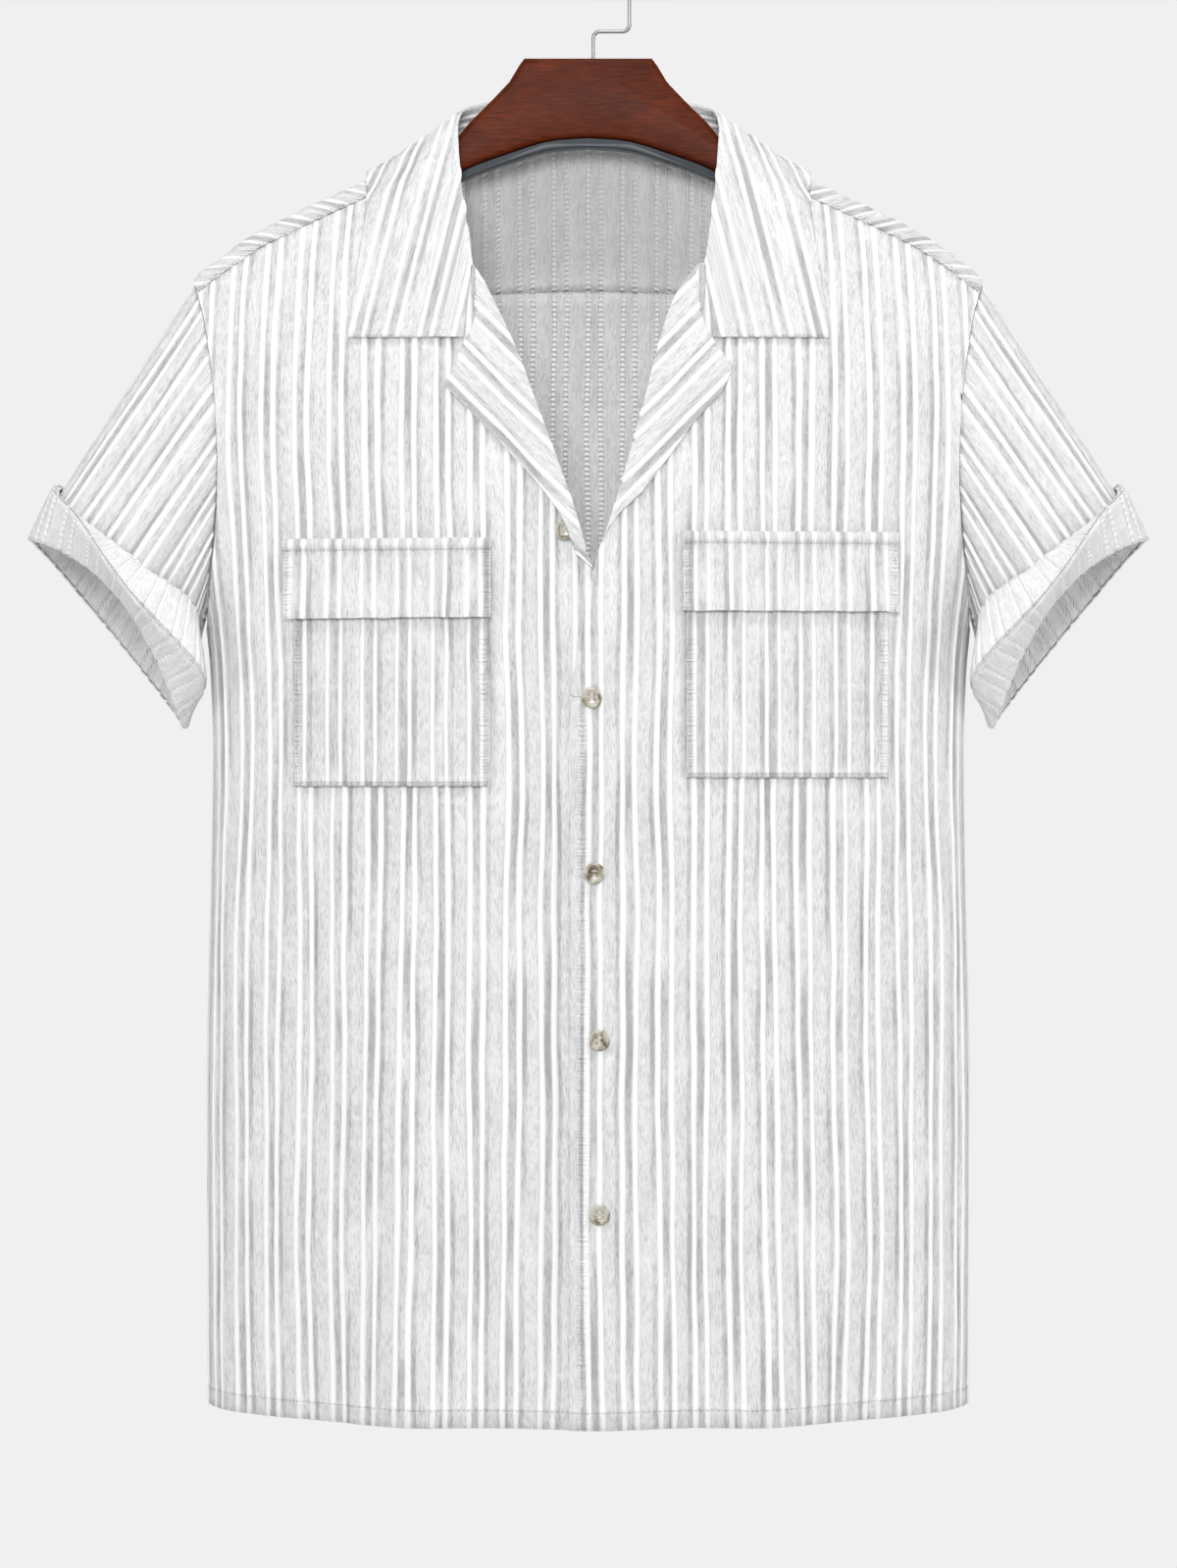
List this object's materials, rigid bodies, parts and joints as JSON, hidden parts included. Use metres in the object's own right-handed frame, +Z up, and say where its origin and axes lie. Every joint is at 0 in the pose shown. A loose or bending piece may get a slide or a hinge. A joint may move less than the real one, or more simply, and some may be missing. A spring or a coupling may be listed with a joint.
{
  "type": "short-sleeved shirt on hanger",
  "caption": "White crinkle-striped camp-collar shirt with flap pockets and turned-up cuffs, hung on a flat wooden hanger with a wire hook.",
  "frame": {"origin": "inner top of the hanger's hook, where a rail carries it", "axes": "+Z up, the shirt's front faces -Y, +X is on the viewer's right (the wearer's left)"},
  "size_m": [0.6664, 0.1549, 0.8829],
  "materials": {
    "cotton": "white crinkled cotton with raised stripes",
    "button_horn": "grey-brown mottled horn look, polished",
    "lacquered_wood": "dark red-brown lacquered wood",
    "black_strip": "blue-black satin strip",
    "steel_wire": "drawn steel wire"
  },
  "bodies": {
    "root": {"front_right": "cotton", "front_left": "cotton", "back": "cotton", "yoke": "cotton", "collar": "cotton", "lapel_right": "cotton", "lapel_left": "cotton", "sleeve_right": "cotton", "sleeve_left": "cotton", "pocket_right": "cotton", "pocket_left": "cotton", "flap_right": "cotton", "flap_left": "cotton", "cuff_right": "cotton", "cuff_left": "cotton", "button_1": "button_horn", "button_2": "button_horn", "button_3": "button_horn", "button_4": "button_horn", "button_5": "button_horn", "hanger_body": "lacquered_wood", "hanger_edge": "black_strip", "hook": "steel_wire"}
  },
  "joints": []
}
